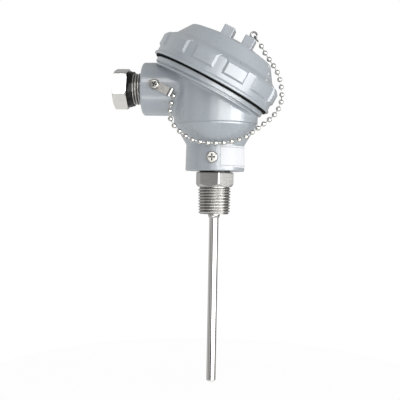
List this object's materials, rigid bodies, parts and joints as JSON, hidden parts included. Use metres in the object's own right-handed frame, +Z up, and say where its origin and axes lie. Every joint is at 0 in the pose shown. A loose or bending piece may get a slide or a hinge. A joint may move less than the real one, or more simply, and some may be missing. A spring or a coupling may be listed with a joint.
{
  "type": "rtd probe with connection head",
  "caption": "Resistance thermometer: thin sheath, taper-thread hex fitting, slanted head with screw cap on a ball chain, cable gland and terminal block.",
  "frame": {"origin": "on the probe axis at the underside of the hexagon, where the process thread starts", "axes": "+Z up along the probe axis through the neck, cable entry towards -X, cap leaning towards +X"},
  "size_m": [0.1092, 0.0824, 0.2286],
  "materials": {
    "housing_paint": "semi-gloss enamel on cast aluminium",
    "stainless": "turned and polished",
    "nickel": "nickel plate",
    "rubber": "matte",
    "brass": "satin",
    "ceramic": "satin glaze",
    "powder": "packed powder",
    "potting": "cast resin",
    "lead_red": "smooth",
    "lead_white": "smooth",
    "label_film": "printed film, bare"
  },
  "bodies": {
    "housing": {"housing": "housing_paint", "process_fitting": "stainless", "sheath": "stainless", "sensing_element": "ceramic", "element_wires": "nickel", "sheath_fill": "powder", "lead_seal": "potting", "lead_wire_a": "lead_red", "lead_wire_b": "lead_white", "lead_wire_c": "lead_red", "terminal_block": "ceramic", "terminals": "brass", "terminal_screws": "nickel", "block_screws": "nickel", "block_washers": "nickel", "gland_grommet": "rubber", "gland_washer": "nickel", "cap_chain": "nickel", "chain_tab": "nickel", "tab_washer": "nickel", "tab_screw": "nickel", "neck_screw": "nickel", "label": "label_film"},
    "gasket": {"cap_gasket": "rubber"},
    "cap": {"cap": "housing_paint", "chain_eye": "nickel", "chain_ring": "nickel"},
    "gland_seal": {"gland_o_ring": "rubber"},
    "gland": {"gland_nut": "nickel"}
  },
  "joints": [
    {"name": "cap_advance", "type": "slide", "parent": "housing", "child": "gasket", "axis": [0.4621, 0, 0.8868], "range_m": [0, 0.01201], "deforming": ["cap_chain"]},
    {"name": "cap_turn", "type": "hinge", "parent": "gasket", "child": "cap", "pos_m": [-0.00345, 0, 0.06605], "axis": [0.4621, 0, 0.8868], "range_deg": [0, 1440]},
    {"name": "gland_advance", "type": "slide", "parent": "housing", "child": "gland_seal", "axis": [-1, 0, 0], "range_m": [-0.00545, 0.00545]},
    {"name": "gland_turn", "type": "hinge", "parent": "gland_seal", "child": "gland", "pos_m": [-0.0615, 0, 0.06248], "axis": [-1, 0, 0], "range_deg": [-1080, 1080]}
  ],
  "couplings": [
    {"joint": "cap_advance", "follows": "cap_turn", "m_per_rad": 0.00047746},
    {"joint": "gland_advance", "follows": "gland_turn", "m_per_rad": 0.00028871}
  ]
}
